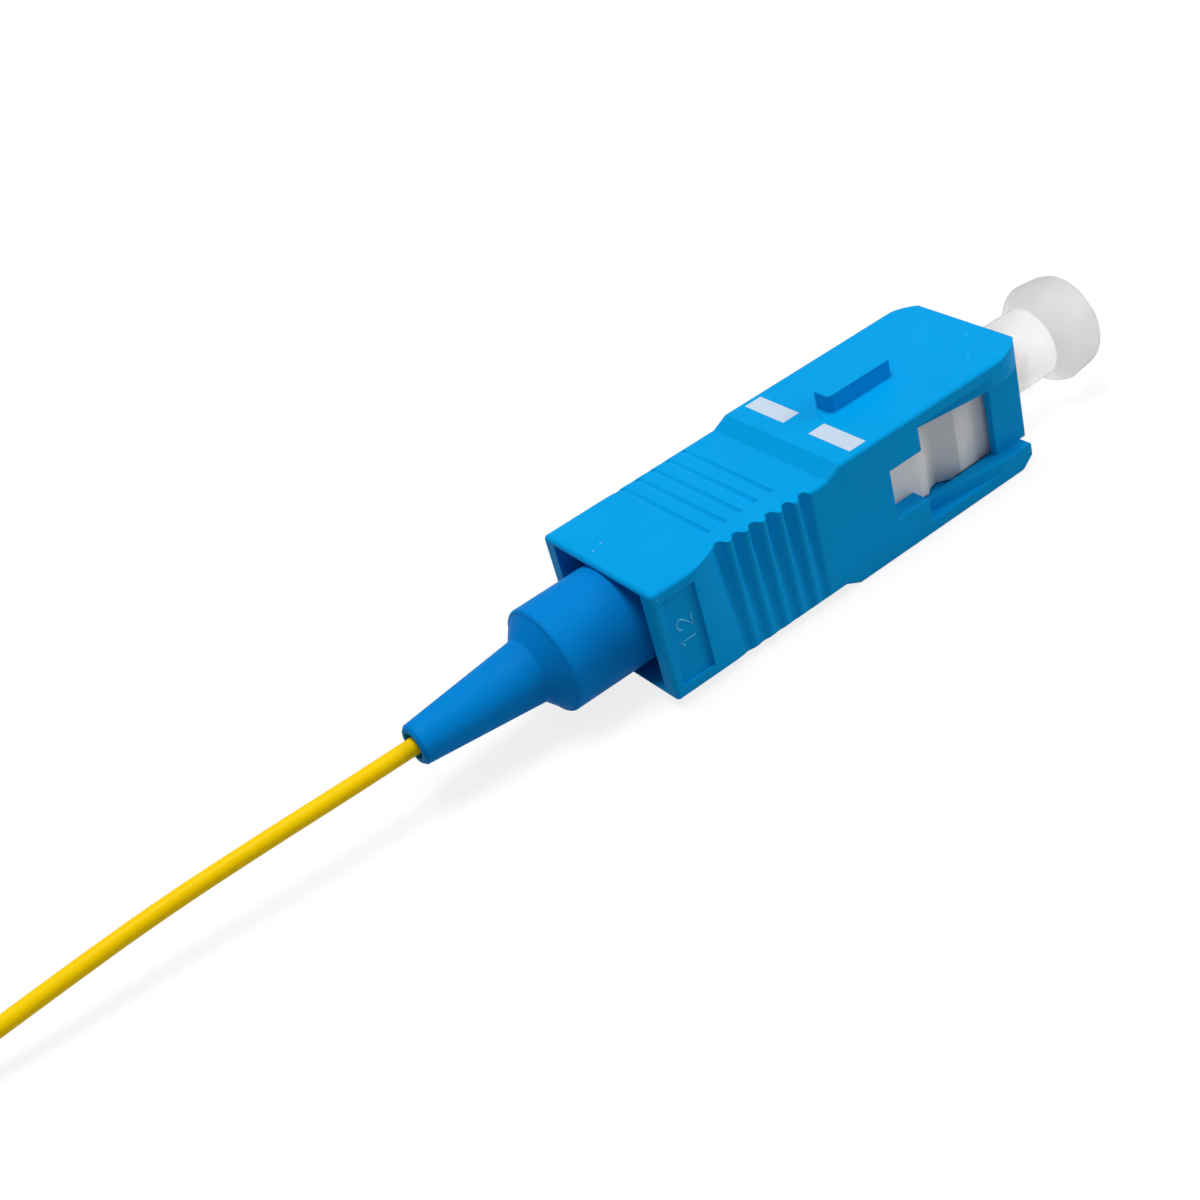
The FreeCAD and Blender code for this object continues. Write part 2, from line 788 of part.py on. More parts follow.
def ferrule_flange():
    tube_seat = TAIL_START + S.flange_tube_depth
    tube_room = S.tube_radius + S.tube_fit
    edge = S.wire_diameter / 2
    return turned("ferrule_flange", [
        (TAIL_START, tube_room),
        (tube_seat, tube_room),
        (tube_seat, S.flange_tail_hole),
        (FERRULE_START, S.flange_tail_hole),
        (FERRULE_START, S.ferrule_radius),
        (NOSE_END, S.ferrule_radius),
        (NOSE_END, S.flange_nose_radius - edge),
        (NOSE_END - edge, S.flange_nose_radius),
        (COLLAR_FRONT, S.flange_nose_radius),
        (COLLAR_FRONT, COLLAR_RADIUS),
        (COLLAR_BACK, COLLAR_RADIUS),
        (COLLAR_BACK, S.flange_tail_radius),
        (TAIL_START, S.flange_tail_radius),
    ])


def ferrule_spring():
    """The coil spring between the stop ring's front face and the flange's collar."""
    body = new_body("ferrule_spring")
    wire = S.wire_diameter / 2
    start = RING_FRONT + wire + S.spring_end_gap
    height = COLLAR_BACK - RING_FRONT - S.wire_diameter - 2 * S.spring_end_gap
    section = new_sketch(body, "wire_section", "XY_Plane")
    circle(section, start, S.spring_radius, wire)
    helix = body.newObject("PartDesign::AdditiveHelix", "spring_coil")
    helix.Profile = section
    helix.ReferenceAxis = (datum(body, "X_Axis"), [""])
    helix.Mode = "height-turns-angle"
    helix.setExpression("Height", height.text)
    helix.setExpression("Turns", S.spring_turns.text)
    settle(body, 0.0, True, "spring_coil")
    return body


# ---------------------------------------------------------------- stop ring and tube


def stop_ring():
    """The turned metal body: nipple with barbs for the boot, flange, and front ring."""
    barbs = []
    for number in reversed(range(3)):
        tip = S.nipple_start + 0.3 + number * S.barb_pitch
        barbs += [
            (tip + 0.8 * S.barb_pitch, S.nipple_radius - S.barb_height),
            (tip + 0.8 * S.barb_pitch, S.nipple_radius),
            (tip, S.nipple_radius - S.barb_height),
        ]
    flange_start = RING_FLANGE_END - S.ring_flange_length
    root_end = flange_start - 1
    body = turned("stop_ring", [
        (S.nipple_start, S.ring_bore),
        (RING_FRONT, S.ring_bore),
        (RING_FRONT, RING_RADIUS),
        (RING_FLANGE_END, RING_RADIUS),
        (RING_FLANGE_END, RING_FLANGE_RADIUS),
        (flange_start, RING_FLANGE_RADIUS),
        (flange_start, S.nipple_radius + 0.4),
        (root_end, S.nipple_radius),
    ] + barbs + [
        (S.nipple_start, S.nipple_radius - S.barb_height),
    ])
    tabs = new_sketch(body, "ring_tabs", "XY_Plane")
    half = S.tab_width / 2
    tab_start = TAB_START + S.tab_window_length - S.tab_length - 0.05
    block(tabs, tab_start, tab_start + S.tab_length, -half, half)
    pad(body, tabs, "snap_tabs", TAB_TOP * 2, both_ways=True)
    bore = new_sketch(body, "ring_bore_again", "XY_Plane")
    block(bore, S.nipple_start - 1, RING_FRONT + 1, 0, S.ring_bore)
    spin("Groove", body, bore, "ring_way_through")
    return body


def guide_tube():
    tube_end = TAIL_START + S.flange_tube_depth
    return turned("guide_tube", [
        (S.tube_start, S.tube_hole),
        (tube_end, S.tube_hole),
        (tube_end, S.tube_radius),
        (S.tube_start, S.tube_radius),
    ])


def buffered_fibre():
    return turned("buffered_fibre", [
        (S.buffer_start, 0),
        (STRIP_POINT, 0),
        (STRIP_POINT, BUFFER_RADIUS),
        (S.buffer_start, BUFFER_RADIUS),
    ])


def bare_fibre():
    return turned("bare_fibre", [
        (STRIP_POINT, 0),
        (FERRULE_END, 0),
        (FERRULE_END, S.bare_radius),
        (STRIP_POINT, S.bare_radius),
    ])


# ----------------------------------------------------------------- boot and dust cap


def boot():
    """Strain-relief boot: a thick collar, a rounded step, and a long slim cone."""
    inner = S.nipple_radius + S.boot_fit
    nipple_room = S.nipple_start - 0.3
    lip = S.boot_lip
    edge_bend = bow_radius(S.boot_edge_length, S.boot_edge_drop, S.boot_edge_bow)
    return turned("boot", [
        (S.boot_front, inner),
        (S.boot_front, BOOT_RADIUS - lip),
        (S.boot_front - lip, BOOT_RADIUS),
        (S.boot_collar_end, BOOT_RADIUS, edge_bend),
        (S.boot_collar_end - S.boot_edge_length, BOOT_RADIUS - S.boot_edge_drop),
        (S.boot_step, S.boot_cone_radius + lip),
        (S.boot_step - lip, S.boot_cone_radius),
        (S.boot_end + lip, S.boot_end_radius),
        (S.boot_end, S.boot_end_radius - lip),
        (S.boot_end, S.boot_mouth_hole),
        (S.boot_end + S.boot_mouth_depth, S.boot_hole),
        (nipple_room, S.boot_hole),
        (nipple_room, inner),
    ])


def dust_cap():
    """The moulded cap: a tube over the ferrule, and a closed flared end to pull on."""
    hole = S.ferrule_radius + S.cap_fit
    edge = S.cap_edge
    return turned("dust_cap", [
        (CAP_START, hole + 0.2),
        (CAP_START + 0.3, hole),
        (CAP_HOLE_END, hole),
        (CAP_HOLE_END + 0.4, 0),
        (CAP_END, 0),
        (CAP_END, S.cap_end_radius - edge, edge),
        (CAP_END - edge, S.cap_end_radius),
        (CAP_FLARE_END + edge, S.cap_flare_radius - 0.02, edge * 1.5),
        (CAP_FLARE_END - 0.1, S.cap_flare_radius - 0.15),
        (CAP_NECK_END, CAP_NECK_RADIUS),
        (CAP_START + 0.15, CAP_NECK_RADIUS),
        (CAP_START, CAP_NECK_RADIUS - 0.15),
    ])


# ------------------------------------------------------------- pigtail beyond the boot

# The route's points, in the drawing frame, chosen by hand: straight out of the boot,
# then a slow fall to the surface, and along it to the hank.
ROUTE = [
    (-11.5, 0.0, 0.0),
    (-15.6, 0.05, -0.02),
    (-20.5, 0.45, -0.22),
    (-26.0, 0.95, -0.62),
    (-31.5, 1.15, -1.12),
    (-36.8, 1.55, -1.85),
    (-41.5, 3.2, -2.72),
    (-44.6, 3.9, -3.12),
    (-47.6, 4.0, -3.25),
]


def pigtail_fibre():
    """The free length as straight runs joined by arcs that meet them without a kink."""
    points = [VECTOR(*point) for point in ROUTE]
    runs = [b - a for a, b in zip(points, points[1:])]
    edges = []
    start = points[0]
    for number in range(1, len(points) - 1):
        before, after = runs[number - 1], runs[number]
        turn = before.getAngle(after)
        reach = 0.45 * min(before.Length, after.Length)
        radius = reach / math.tan(turn / 2)
        print("pigtail bend %d: radius %.1f mm" % (number, radius))
        unit_in, unit_out = VECTOR(before).normalize(), VECTOR(after).normalize()
        leave = points[number] - unit_in * reach
        meet = points[number] + unit_out * reach
        inward = (unit_out - unit_in).normalize()
        centre = points[number] + inward * (radius / math.cos(turn / 2))
        middle = centre - inward * radius
        edges.append(Part.LineSegment(start, leave).toShape())
        edges.append(Part.Arc(leave, middle, meet).toShape())
        start = meet
    edges.append(Part.LineSegment(start, points[-1]).toShape())
    wire = Part.Wire(edges)
    section = Part.Wire(Part.Circle(points[0], runs[0], BUFFER_RADIUS.value).toShape())
    tube = wire.makePipeShell([section], True, False)
    full = wire.Length * math.pi * BUFFER_RADIUS.value ** 2
    print("pigtail run %.2f mm, solid %.3f of section x length" % (
        wire.Length, tube.Volume / full))
    piece = doc.addObject("Part::Feature", "pigtail_fibre")
    piece.Shape = tube
    piece.Label = "pigtail_fibre"
    piece.Placement = place()
    return piece


def place():
    return FreeCAD.Placement(
        VECTOR(-PART_MIDDLE.value, 0, AXIS_HEIGHT.value), FreeCAD.Rotation())


def racetrack(sketch, radius):
    """Two straight runs joined by round ends, about the hank's middle."""
    half = S.hank_run / 2
    outline(sketch, [
        (-half, -radius),
        (half, -radius, radius),
        (half + radius, 0, radius),
        (half, radius),
        (-half, radius, radius),
        (-half - radius, 0, radius),
    ])


def fibre_hank():
    """The rest of the pigtail, folded into a hank: one closed loop of its outer shape,
    with a flat face where the free length runs into its outermost lane."""
    body = new_body("fibre_hank")
    body.setExpression("Placement.Base.x", "%s - %s" % (S.hank_x.text, PART_MIDDLE.text))
    body.setExpression("Placement.Base.y", S.hank_y.text)
    body.setExpression("Placement.Base.z", "0")
    plan = new_sketch(body, "hank_plan", "XY_Plane")
    racetrack(plan, S.hank_outer)
    racetrack(plan, S.hank_inner)
    pad(body, plan, "hank_loop", S.hank_height)
    entry = new_sketch(body, "hank_entry_plan", "XY_Plane")
    lane = ROUTE[-1][1] - S.hank_y.value
    block(entry, S.hank_entry - S.hank_x, S.hank_run / 2 + S.hank_outer + 1,
          lane - 0.6, S.hank_outer + 1)
    pocket(body, entry, "hank_entry_face", S.buffer_diameter + 0.1, backwards=True)
    return body


# ----------------------------------------------------------------------- build


def build():
    pieces = [
        outer_housing(),
        index_mark("left", 1),
        index_mark("right", -1),
        plug_frame(),
        ferrule(),
        ferrule_flange(),
        ferrule_spring(),
        stop_ring(),
        guide_tube(),
        buffered_fibre(),
        bare_fibre(),
        boot(),
        dust_cap(),
        pigtail_fibre(),
        fibre_hank(),
    ]
    doc.recompute()
    for item in doc.Objects:
        if "Invalid" in item.State or "Error" in item.State:
            raise ValueError("%s is in state %s" % (item.Name, item.State))
    os.makedirs("parts", exist_ok=True)
    for piece in pieces:
        shape = piece.Shape
        if shape.isNull() or not shape.isValid() or shape.Volume <= 0:
            raise ValueError("%s has no valid solid" % piece.Label)
        shape.exportStep("parts/%s.step" % piece.Label)
        box = shape.BoundBox
        print("%-18s x %7.2f %7.2f  y %6.2f %6.2f  z %6.2f %6.2f  %d solid  %.2f mm3" % (
            piece.Label, box.XMin, box.XMax, box.YMin, box.YMax, box.ZMin, box.ZMax,
            len(shape.Solids), shape.Volume))


build()
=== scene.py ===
import math

import bmesh
import bpy
from mathutils import Matrix, Vector


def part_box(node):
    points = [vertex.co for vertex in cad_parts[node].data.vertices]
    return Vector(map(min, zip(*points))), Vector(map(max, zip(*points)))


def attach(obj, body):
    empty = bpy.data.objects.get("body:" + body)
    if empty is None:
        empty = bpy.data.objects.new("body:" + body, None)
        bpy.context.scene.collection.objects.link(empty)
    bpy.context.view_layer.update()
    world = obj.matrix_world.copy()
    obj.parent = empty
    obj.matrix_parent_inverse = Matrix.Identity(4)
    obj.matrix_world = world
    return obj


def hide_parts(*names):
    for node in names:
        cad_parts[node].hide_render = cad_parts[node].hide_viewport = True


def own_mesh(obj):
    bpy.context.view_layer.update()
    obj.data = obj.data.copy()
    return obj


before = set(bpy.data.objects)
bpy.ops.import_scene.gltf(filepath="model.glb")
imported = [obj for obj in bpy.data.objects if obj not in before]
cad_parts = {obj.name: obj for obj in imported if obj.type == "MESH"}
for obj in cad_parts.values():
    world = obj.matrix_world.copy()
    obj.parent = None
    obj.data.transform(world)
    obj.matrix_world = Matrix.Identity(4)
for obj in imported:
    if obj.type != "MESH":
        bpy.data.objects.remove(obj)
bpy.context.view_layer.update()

# The frame and Blender use metres. A value in millimetres is multiplied by MM on its way.
MM = 0.001

# ------------------------------------------------------------------ sizes and places

# In metres.
HOUSING_LOW = Vector(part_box("outer_housing")[0])
CAP_LOW, CAP_HIGH = (Vector(corner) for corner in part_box("dust_cap"))
AXIS_Z = (CAP_LOW.z + CAP_HIGH.z) / 2
FIBRE_DIAMETER = 0.9 * MM


def add_object(name, data):
    """A new object in the scene's collection."""
    shape = bpy.data.objects.new(name, data)
    bpy.context.scene.collection.objects.link(shape)
    return shape


# -------------------------------------------------------------------------- camera

# The photograph's viewpoint: above, behind and to the right, rolled a little. The spot,
# the lens and its sensor are in millimetres.
CAMERA_SPOT = Vector((-45.883, -67.841, 57.669))
CAMERA_RIGHT = Vector((0.77604, -0.58480, -0.23616))
CAMERA_DOWN = Vector((-0.50479, -0.35146, -0.78846))
CAMERA_FORWARD = Vector((0.37810, 0.73108, -0.56794))
CAMERA_LENS = 56.36
CAMERA_SENSOR = 36


def add_camera():
    """The scene's camera, at the photograph's viewpoint."""
    data = bpy.data.cameras.new("camera")
    data.sensor_width = CAMERA_SENSOR
    data.lens = CAMERA_LENS
    data.clip_start = 0.005
    data.clip_end = 5
    camera = add_object("camera", data)
    turn = Matrix((CAMERA_RIGHT, -CAMERA_DOWN, -CAMERA_FORWARD)).transposed()
    camera.matrix_world = Matrix.Translation(CAMERA_SPOT * MM) @ turn.to_4x4()
    bpy.context.scene.camera = camera


# --------------------------------------------------------------------- node helpers

# Where a noise factor's low end and high end are taken to be.
NOISE_LOW, NOISE_HIGH = 0.3, 0.7


def new_material(name):
    """A new material, its node tree and its shader."""
    material = bpy.data.materials.new(name)
    material.use_nodes = True
    tree = material.node_tree
    return material, tree, tree.nodes["Principled BSDF"]


def paint(shape, material):
    """Puts the material in every slot of an object."""
    if not shape.material_slots:
        shape.data.materials.append(material)
    for slot in shape.material_slots:
        slot.material = material


def noise(tree, scale, detail=4.0, stretch=(1, 1, 1)):
    """A noise factor that lies fixed in the object."""
    place = tree.nodes.new("ShaderNodeTexCoord")
    mapping = tree.nodes.new("ShaderNodeMapping")
    mapping.inputs["Scale"].default_value = stretch
    tree.links.new(place.outputs["Object"], mapping.inputs["Vector"])
    node = tree.nodes.new("ShaderNodeTexNoise")
    node.inputs["Scale"].default_value = scale
    node.inputs["Detail"].default_value = detail
    tree.links.new(mapping.outputs["Vector"], node.inputs["Vector"])
    return node.outputs["Fac"]


def ramp(tree, fac, low, high):
    """A colour from one to another by a noise factor."""
    node = tree.nodes.new("ShaderNodeValToRGB")
    first, last = node.color_ramp.elements
    first.position, first.color = NOISE_LOW, (*low, 1)
    last.position, last.color = NOISE_HIGH, (*high, 1)
    tree.links.new(fac, node.inputs["Fac"])
    return node.outputs["Color"]


def spread(tree, value, low, high, start=NOISE_LOW, end=NOISE_HIGH):
    """A number from low to high, as the value goes from start to end."""
    node = tree.nodes.new("ShaderNodeMapRange")
    node.inputs["From Min"].default_value = start
    node.inputs["From Max"].default_value = end
    node.inputs["To Min"].default_value = low
    node.inputs["To Max"].default_value = high
    tree.links.new(value, node.inputs["Value"])
    return node.outputs["Result"]


def combine(tree, operation, first, second):
    """A Math node on an output and either a plain number or another output."""
    node = tree.nodes.new("ShaderNodeMath")
    node.operation = operation
    tree.links.new(first, node.inputs[0])
    if isinstance(second, float):
        node.inputs[1].default_value = second
    else:
        tree.links.new(second, node.inputs[1])
    return node.outputs["Value"]


def blend(tree, share, first, second):
    """The first shader where the share is 0, and the second where it is 1."""
    node = tree.nodes.new("ShaderNodeMixShader")
    tree.links.new(share, node.inputs["Fac"])
    tree.links.new(first, node.inputs[1])
    tree.links.new(second, node.inputs[2])
    return node.outputs["Shader"]


def relief(tree, shader, height, strength, depth, edge):
    """Surface grain as bump, over edges that the bevel node rounds by a radius."""
    bump = tree.nodes.new("ShaderNodeBump")
    bump.inputs["Strength"].default_value = strength
    bump.inputs["Distance"].default_value = depth
    tree.links.new(height, bump.inputs["Height"])
    if edge > 0:
        bevel = tree.nodes.new("ShaderNodeBevel")
        bevel.samples = 8
        bevel.inputs["Radius"].default_value = edge
        tree.links.new(bevel.outputs["Normal"], bump.inputs["Normal"])
    tree.links.new(bump.outputs["Normal"], shader.inputs["Normal"])


# ----------------------------------------------------------------------- materials

# Plastic: the scales of its uneven colour, dull patches and grain, how much smoother and
# rougher than its roughness the patches are, and the grain's depth and edges in metres.
TONE_SCALE, PATCH_SCALE, GRAIN_SCALE = 260, 900, 9000
PLASTIC_SMOOTHER, PLASTIC_ROUGHER = 0.06, 0.08
GRAIN_DEPTH = 0.02 * MM
PLASTIC_EDGE = 0.1 * MM

# How far light goes under the surface, in metres, and the share of that for red, green
# and blue.
SUBSURFACE_REACH = 2.0 * MM
SUBSURFACE_SHARES = (1.0, 0.9, 0.8)

# Dust: specks around the middles of some of the cells, in some areas only.
SPECK_CELLS, SPECK_RADIUS = 1500, 0.075
SPECK_AREAS, SPECK_THRESHOLD = 420, 0.62
SPECK_COLOUR = (0.20, 0.55, 0.80, 1)

# Metal: the scale, strength and depth of its lines, how dark they go, how much smoother
# and rougher they are, and the edges. TURNED draws the lines out round the axis.
LINE_SCALE, LINE_STRENGTH = 6000, 0.15
LINE_DEPTH = 0.01 * MM
LINE_DARKNESS = 0.82
METAL_SMOOTHER, METAL_ROUGHER = 0.05, 0.1
METAL_EDGE = 0.04 * MM
TURNED = (1, 0.05, 0.05)


def specks(tree, colour):
    """A few pale flecks of dust and lint over the colour."""
    place = tree.nodes.new("ShaderNodeTexCoord")
    cells = tree.nodes.new("ShaderNodeTexVoronoi")
    cells.inputs["Scale"].default_value = SPECK_CELLS
    tree.links.new(place.outputs["Object"], cells.inputs["Vector"])
    near = combine(tree, "LESS_THAN", cells.outputs["Distance"], SPECK_RADIUS)
    areas = noise(tree, SPECK_AREAS, detail=2)
    rare = combine(tree, "GREATER_THAN", areas, SPECK_THRESHOLD)
    mix = tree.nodes.new("ShaderNodeMix")
    mix.data_type = "RGBA"
    mix.inputs["B"].default_value = SPECK_COLOUR
    tree.links.new(combine(tree, "MULTIPLY", near, rare), mix.inputs["Factor"])
    tree.links.new(colour, mix.inputs["A"])
    return mix.outputs["Result"]


def plastic(name, low, high, rough, grain=0.1, edge=PLASTIC_EDGE, subsurface=0.0,
            specular=0.2, lint=False, clear=0.0):
    """Moulded plastic: a slightly uneven colour, a fine grain and soft edges."""
    material, tree, shader = new_material(name)
    colour = ramp(tree, noise(tree, TONE_SCALE, detail=3), low, high)
    if lint:
        colour = specks(tree, colour)
    tree.links.new(colour, shader.inputs["Base Color"])
    patches = noise(tree, PATCH_SCALE, detail=5)
    roughness = spread(tree, patches, rough - PLASTIC_SMOOTHER, rough + PLASTIC_ROUGHER)
    tree.links.new(roughness, shader.inputs["Roughness"])
    shader.inputs["Specular IOR Level"].default_value = specular
    if subsurface:
        shader.inputs["Subsurface Weight"].default_value = subsurface
        shader.inputs["Subsurface Radius"].default_value = SUBSURFACE_SHARES
        shader.inputs["Subsurface Scale"].default_value = SUBSURFACE_REACH
    shader.inputs["Transmission Weight"].default_value = clear
    relief(tree, shader, noise(tree, GRAIN_SCALE, detail=2), grain, GRAIN_DEPTH, edge)
    return material


def metal(name, colour, rough, stretch=(1, 1, 1)):
    """Turned or drawn metal with fine lines."""
    material, tree, shader = new_material(name)
    lines = noise(tree, LINE_SCALE, detail=3, stretch=stretch)
    dark = tuple(LINE_DARKNESS * value for value in colour)
    tree.links.new(ramp(tree, lines, dark, colour), shader.inputs["Base Color"])
    shader.inputs["Metallic"].default_value = 1.0
    roughness = spread(tree, lines, rough - METAL_SMOOTHER, rough + METAL_ROUGHER)
    tree.links.new(roughness, shader.inputs["Roughness"])
    relief(tree, shader, lines, LINE_STRENGTH, LINE_DEPTH, METAL_EDGE)
    return material


def clear_glass(name, low, high):
    """Smooth glass, slightly uneven in colour."""
    material, tree, shader = new_material(name)
    tree.links.new(ramp(tree, noise(tree, 800), low, high), shader.inputs["Base Color"])
    shader.inputs["Transmission Weight"].default_value = 0.8
    shader.inputs["Roughness"].default_value = 0.08
    return material


def dress_nodes(yellow):
    """Gives each CAD node its material."""
    marks = plastic("mark_print", (0.53, 0.65, 0.79), (0.60, 0.71, 0.84), 0.6, grain=0.3,
                    edge=0)
    table = {
        "outer_housing": plastic("housing_plastic", (0.0, 0.338, 0.765), (0.0, 0.358, 0.80),
                                 0.45, grain=0.12, specular=0.03, lint=True),
        "index_mark_left": marks,
        "index_mark_right": marks,
        "plug_frame": plastic("frame_plastic", (0.89, 0.86, 0.82), (0.95, 0.92, 0.88), 0.38,
                              subsurface=0.1),
        "ferrule": plastic("ferrule_ceramic", (0.82, 0.82, 0.80), (0.88, 0.88, 0.86), 0.12,
                           grain=0.02),
        "ferrule_flange": metal("flange_steel", (0.62, 0.61, 0.58), 0.3, TURNED),
        "ferrule_spring": metal("spring_wire", (0.60, 0.60, 0.60), 0.25),
        "stop_ring": metal("ring_metal", (0.72, 0.72, 0.73), 0.32, TURNED),
        "guide_tube": plastic("guide_tube_plastic", (0.75, 0.77, 0.78), (0.82, 0.84, 0.85),
                              0.4),
        "buffered_fibre": yellow,
        "bare_fibre": clear_glass("bare_glass", (0.90, 0.94, 0.96), (0.96, 0.98, 1.0)),
        "boot": plastic("boot_elastomer", (0.0, 0.218, 0.65), (0.0, 0.238, 0.69), 0.55,
                        grain=0.25, specular=0.03),
        "dust_cap": plastic("cap_plastic", (0.955, 0.94, 0.93), (0.97, 0.955, 0.945), 0.5,
                            subsurface=0.9, clear=0.93),
    }
    for node, material in table.items():
        paint(bpy.data.objects[node], material)


# ------------------------------------------------------------------------ the fibre

# The sizes and places from here to the tie are in millimetres.
PITCH = FIBRE_DIAMETER / MM

# The route's points from the boot to the hank, as chosen for the solid.
ROUTE = [
    (-22.075, 0.0, 3.7),
    (-26.175, 0.05, 3.68),
    (-31.075, 0.45, 3.48),
    (-36.575, 0.95, 3.08),
    (-42.075, 1.15, 2.58),
    (-47.375, 1.55, 1.85),
    (-52.075, 3.2, 0.98),
    (-55.175, 3.9, 0.58),
    (-58.175, 4.0, 0.45),
]

# The hank: straight runs of HANK_RUN between round ends, which have the radius HANK_OUTER
# for the outermost turn. A row is HANK_COLUMNS turns wide, HANK_RISE is the part of a
# turn that climbs to the next row, and HANK_ENDS is the number of steps round each end.
HANK_CENTRE = Vector((-66.175, -1.4))
HANK_RUN = 13.5
HANK_OUTER = 5.4
HANK_COLUMNS = 3
HANK_TURNS = 18.9
HANK_RISE = 0.4
HANK_ENDS = 6
ROW_TURNS = HANK_COLUMNS + HANK_RISE
HANK_ROWS = math.ceil(HANK_TURNS / ROW_TURNS)

# The tie: its width, the radius of its bends and the number of steps round each. A face
# of it stands off the hank by its first value and stays above the floor by its second.
TIE_WIDTH = 1.8
TIE_BEND = 0.6
TIE_STEPS = 6
TIE_INSIDE = (0.01, 0.06)
TIE_OUTSIDE = (0.14, 0.01)


def hank_spots():
    """One turn of the hank: for each point, which end it belongs to and its angle."""
    far = [(-1, 90 + 180 * step / HANK_ENDS) for step in range(HANK_ENDS + 1)]
    near = [(1, 270 + 180 * step / HANK_ENDS) for step in range(HANK_ENDS)]
    return [(1, 90), (0, 90)] + far + [(0, 270)] + near


def hank_point(turn, end, angle):
    """A point of the wound hank: rows wound inwards and outwards in turn, each row
    a diameter above the one below it."""
    row = int(turn // ROW_TURNS)
    along = min(turn - row * ROW_TURNS, HANK_COLUMNS)
    rise = max(turn - row * ROW_TURNS - HANK_COLUMNS, 0) / HANK_RISE
    steps = along if row % 2 == 0 else HANK_COLUMNS - along
    radius = HANK_OUTER - steps * PITCH
    x = HANK_CENTRE.x + end * HANK_RUN / 2 + radius * math.cos(math.radians(angle))
    y = HANK_CENTRE.y + radius * math.sin(math.radians(angle))
    return x, y, PITCH / 2 + (row + rise) * PITCH


def round_lines(name, radius, roundness, kind, lines):
    """A curve of one round line through each list of points, which are in millimetres."""
    curve = bpy.data.curves.new(name, "CURVE")
    curve.dimensions = "3D"
    curve.bevel_depth = radius
    curve.bevel_resolution = roundness
    for places in lines:
        spline = curve.splines.new(kind)
        spline.points.add(len(places) - 1)
        for point, place in zip(spline.points, places):
            point.co = (*(value * MM for value in place), 1)
    return curve


def add_fibre(material):
    """The pigtail as one cord, along its route and then round the hank."""
    spots = hank_spots()
    hank = [hank_point(number / len(spots), *spots[number % len(spots)])
            for number in range(int(HANK_TURNS * len(spots)))]
    curve = round_lines("fibre_line", FIBRE_DIAMETER / 2, 5, "NURBS", [ROUTE + hank])
    curve.use_fill_caps = True
    curve.resolution_u = 6
    spline = curve.splines[0]
    spline.order_u = 3
    spline.use_endpoint_u = True
    fibre = add_object("pigtail", curve)
    paint(fibre, material)
    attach(fibre, "plug")
    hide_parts("pigtail_fibre", "fibre_hank")
    tie = add_tie()


def tie_ring(face, side):
    """The points round one edge of the tie, on one face and one side of it."""
    grow, floor = face
    half = HANK_OUTER + PITCH / 2
    middle = HANK_ROWS * PITCH / 2
    ring = []
    for quarter, (right, up) in enumerate(((1, 1), (-1, 1), (-1, -1), (1, -1))):
        for step in range(TIE_STEPS + 1):
            angle = (quarter + step / TIE_STEPS) * math.pi / 2
            across = right * (half - TIE_BEND) + (TIE_BEND + grow) * math.cos(angle)
            rise = middle + up * (middle - TIE_BEND) + (TIE_BEND + grow) * math.sin(angle)
            place = (HANK_CENTRE.x + side * TIE_WIDTH / 2, HANK_CENTRE.y + across,
                     max(rise, floor))
            ring.append(Vector(place) * MM)
    return ring


def add_tie():
    """A flat band round the middle of the hank, over both of its straight bundles."""
    shape = bmesh.new()
    edges = ((TIE_INSIDE, -1), (TIE_OUTSIDE, -1), (TIE_OUTSIDE, 1), (TIE_INSIDE, 1))
    rings = [[shape.verts.new(place) for place in tie_ring(*edge)] for edge in edges]
    for first, second in zip(rings, rings[1:] + rings[:1]):
        for number in range(len(first)):
            after = (number + 1) % len(first)
            shape.faces.new((first[number], first[after], second[after], second[number]))
    bmesh.ops.recalc_face_normals(shape, faces=shape.faces)
    for face in shape.faces:
        face.smooth = True
    mesh = bpy.data.meshes.new("hank_tie")
    shape.to_mesh(mesh)
    shape.free()
    tie = add_object("hank_tie", mesh)
    paint(tie, plastic("tie_band", (0.70, 0.70, 0.68), (0.78, 0.78, 0.76), 0.5, grain=0.2))
    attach(tie, "plug")
    return tie


# ---------------------------------------------------------------- the ferrule's spring


def add_spring():
    """The ferrule's spring as a piece of its own: a copy of the CAD node's mesh, carried
    with the plug.
    """
    node = bpy.data.objects["ferrule_spring"]
    spring = add_object("spring_coils", node.data.copy())
    spring.matrix_world = node.matrix_world.copy()
    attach(spring, "plug")
    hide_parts("ferrule_spring")
    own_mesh(spring)


# ----------------------------------------------------------------- raised panel number

# In millimetres: the number's middle from the housing's rear and from the axis, the
# panel's face, and the height and line radius of the digits.
NUMBER_X = 1.56
NUMBER_Z = 0.2
PANEL_Y = -4.29
DIGIT_HEIGHT = 0.95
DIGIT_RADIUS = 0.055

# The strokes of the digits 1 and 2: x to the right and y upwards in digit heights. The
# number's middle is at STROKES_MIDDLE, and its digits are widened by STROKES_WIDER.
ONE = [(0.10, 0.78), (0.32, 1.0), (0.32, 0.0)]
TWO = [(0.85, 0.72), (0.90, 0.86), (1.05, 0.98), (1.24, 0.97), (1.36, 0.84), (1.36, 0.66),
       (1.24, 0.46), (0.84, 0.0), (1.40, 0.0)]
STROKES_MIDDLE = Vector((0.75, 0.5))
STROKES_WIDER = 1.3


def digit_place(right, up):
    """Where a point of the digits is on the panel. They are read from below upwards."""
    return (NUMBER_X + DIGIT_HEIGHT * (STROKES_MIDDLE.y - up), 0,
            NUMBER_Z + DIGIT_HEIGHT * STROKES_WIDER * (right - STROKES_MIDDLE.x))


